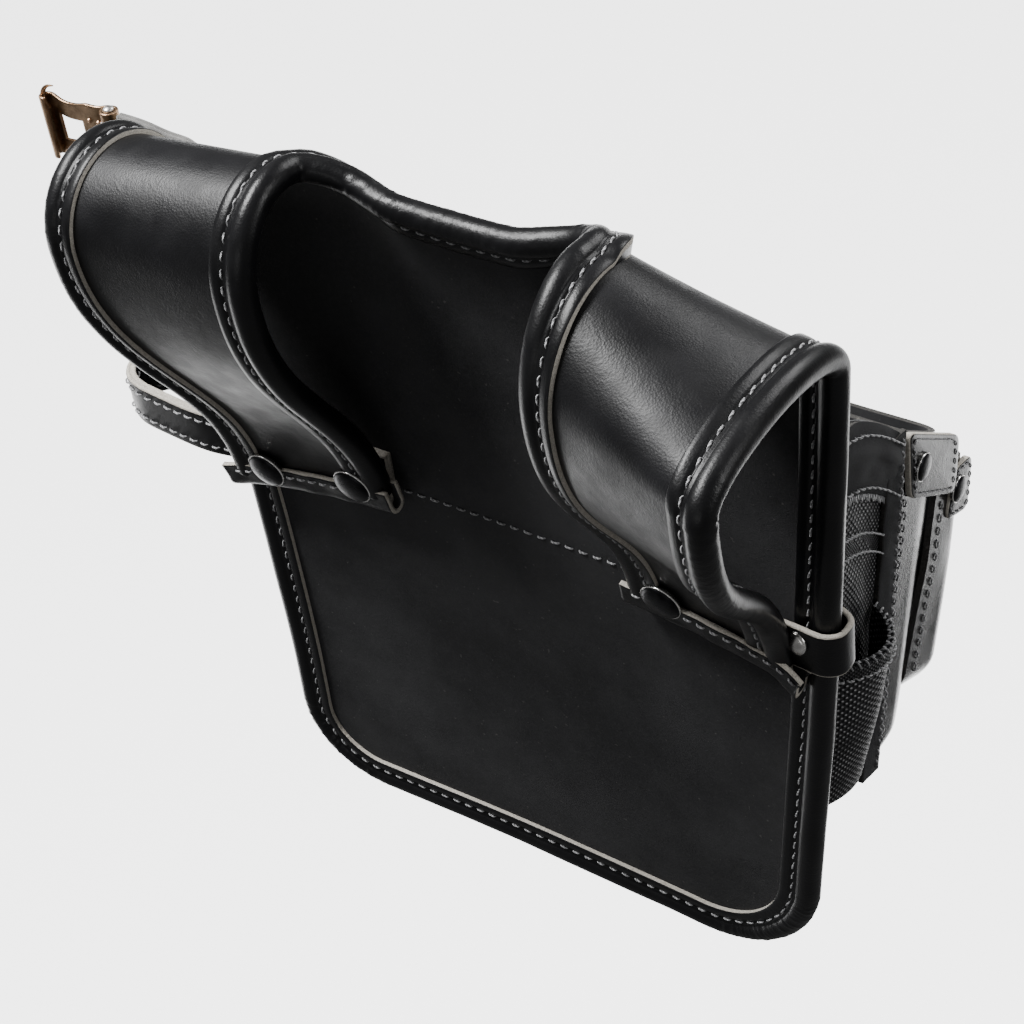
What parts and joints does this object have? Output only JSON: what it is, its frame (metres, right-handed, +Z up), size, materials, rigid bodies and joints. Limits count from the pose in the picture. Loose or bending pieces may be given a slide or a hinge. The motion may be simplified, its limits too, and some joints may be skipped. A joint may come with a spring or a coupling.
{
  "type": "tool pouch",
  "caption": "Black leather belt pouch with two curled belt loops, nylon side gussets, stepped open pockets, a side hammer ring and a swinging metal hook.",
  "frame": {"origin": "middle of the belt tunnel: midway between the two belt loops, at half the tunnel's height and between its front and back walls", "axes": "+X along the belt, to the right as seen from the wearer's side; +Y away from the wearer, towards the pockets; +Z up"},
  "size_m": [0.2987, 0.1845, 0.2896],
  "materials": {
    "matte_leather": "matt, fine grain with faint grey specks",
    "gloss_leather": "smooth glossy black, silver-grey stitching, cream raw edges",
    "nylon_mesh": "woven black nylon with pale flecks",
    "suede_leather": "grey suede",
    "dark_rivet": "gunmetal black with a bright rim",
    "pin_steel": "plain",
    "bronze": "copper-bronze plated sheet"
  },
  "bodies": {
    "pouch": {"back_panel": "matte_leather", "inner_back_panel": "matte_leather", "belt_loop_left": "gloss_leather", "belt_loop_right": "gloss_leather", "outer_edge_binding": "gloss_leather", "loop_edge_binding_left": "gloss_leather", "loop_edge_binding_right": "gloss_leather", "inner_edge_binding": "gloss_leather", "loop_end_strip_left": "gloss_leather", "loop_end_strip_right": "gloss_leather", "loop_rivets": "dark_rivet", "loop_rivet_burrs": "dark_rivet", "hammer_ring": "gloss_leather", "edge_wrap": "gloss_leather", "edge_wrap_rivet": "dark_rivet", "gusset_left": "nylon_mesh", "gusset_right": "nylon_mesh", "gusset_band_left": "gloss_leather", "gusset_band_right": "gloss_leather", "seam_flange_left": "gloss_leather", "seam_flange_right": "gloss_leather", "main_pocket_front": "gloss_leather", "main_pocket_bottom": "gloss_leather", "middle_pocket": "gloss_leather", "front_pocket": "gloss_leather", "side_pocket": "nylon_mesh", "middle_pocket_tab_left": "gloss_leather", "middle_pocket_tab_right": "gloss_leather", "front_pocket_tab_left": "gloss_leather", "front_pocket_tab_right": "gloss_leather", "middle_tab_rivets": "dark_rivet", "front_tab_rivets": "dark_rivet", "hanger_strap": "suede_leather", "hanger_strap_rivets": "dark_rivet", "hook_pin": "pin_steel"},
    "hook": {"tool_hook": "bronze"}
  },
  "joints": [
    {"name": "hook_swing", "type": "hinge", "parent": "pouch", "child": "hook", "pos_m": [-0.149, 0.032, 0.035], "axis": [0, 0, 1], "range_deg": [-60, 60]}
  ]
}
